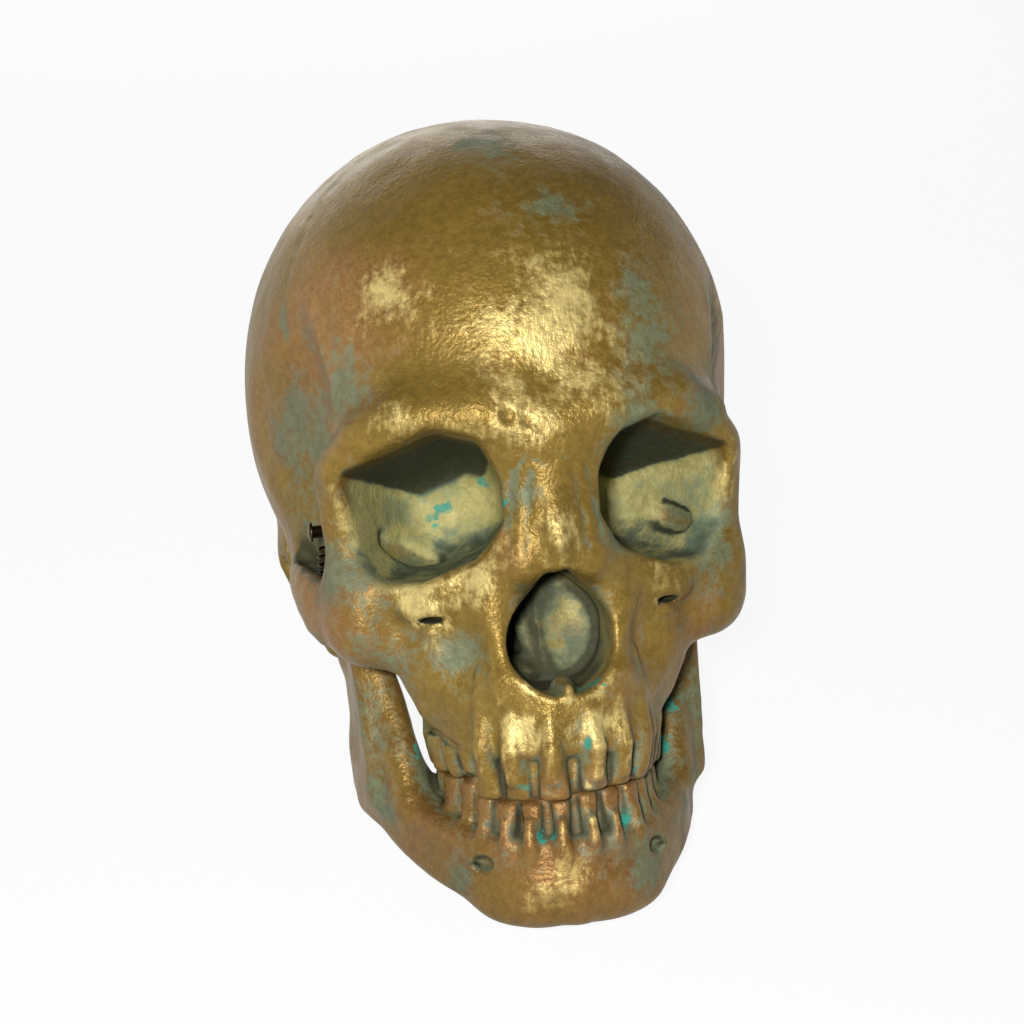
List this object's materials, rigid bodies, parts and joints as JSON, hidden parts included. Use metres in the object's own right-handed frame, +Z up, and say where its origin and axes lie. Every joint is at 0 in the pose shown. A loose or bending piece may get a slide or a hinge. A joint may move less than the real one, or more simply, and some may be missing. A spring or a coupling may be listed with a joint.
{
  "type": "skull decoration",
  "caption": "Life-size hollow human skull decoration in aged gold bronze with a sprung lower jaw that swings open on hinge screws.",
  "frame": {"origin": "on the table, under the middle of the part's box, with the skull leaning back on its jaw corners and nape", "axes": "+X to the skull's left, +Y to the back of the head, face towards -Y, +Z up"},
  "size_m": [0.1356, 0.2278, 0.1707],
  "materials": {
    "cranium_paint": "cast resin painted aged gold bronze with blue-green patina",
    "jaw_paint": "cast resin painted aged copper bronze with blue-green patina",
    "zinc_hardware": "bright zinc plating",
    "spring_wire": "drawn spring wire"
  },
  "bodies": {
    "cranium": {"face_shell": "cranium_paint", "rear_shell": "cranium_paint", "hinge_screw_left": "zinc_hardware", "hinge_washer_left": "zinc_hardware", "spring_pin_upper_left": "zinc_hardware", "jaw_spring_left": "spring_wire", "hinge_screw_right": "zinc_hardware", "hinge_washer_right": "zinc_hardware", "spring_pin_upper_right": "zinc_hardware", "jaw_spring_right": "spring_wire"},
    "jaw": {"lower_jaw": "jaw_paint", "spring_pin_lower_left": "zinc_hardware", "spring_pin_lower_right": "zinc_hardware"}
  },
  "joints": [
    {"name": "jaw_hinge", "type": "hinge", "parent": "cranium", "child": "jaw", "pos_m": [0, -0.00553, 0.04693], "axis": [1, 0, 0], "range_deg": [0, 18], "stiffness_Nm_per_rad": 0.6, "springref_deg": -14.32, "deforming": ["jaw_spring_left", "jaw_spring_right"]}
  ]
}
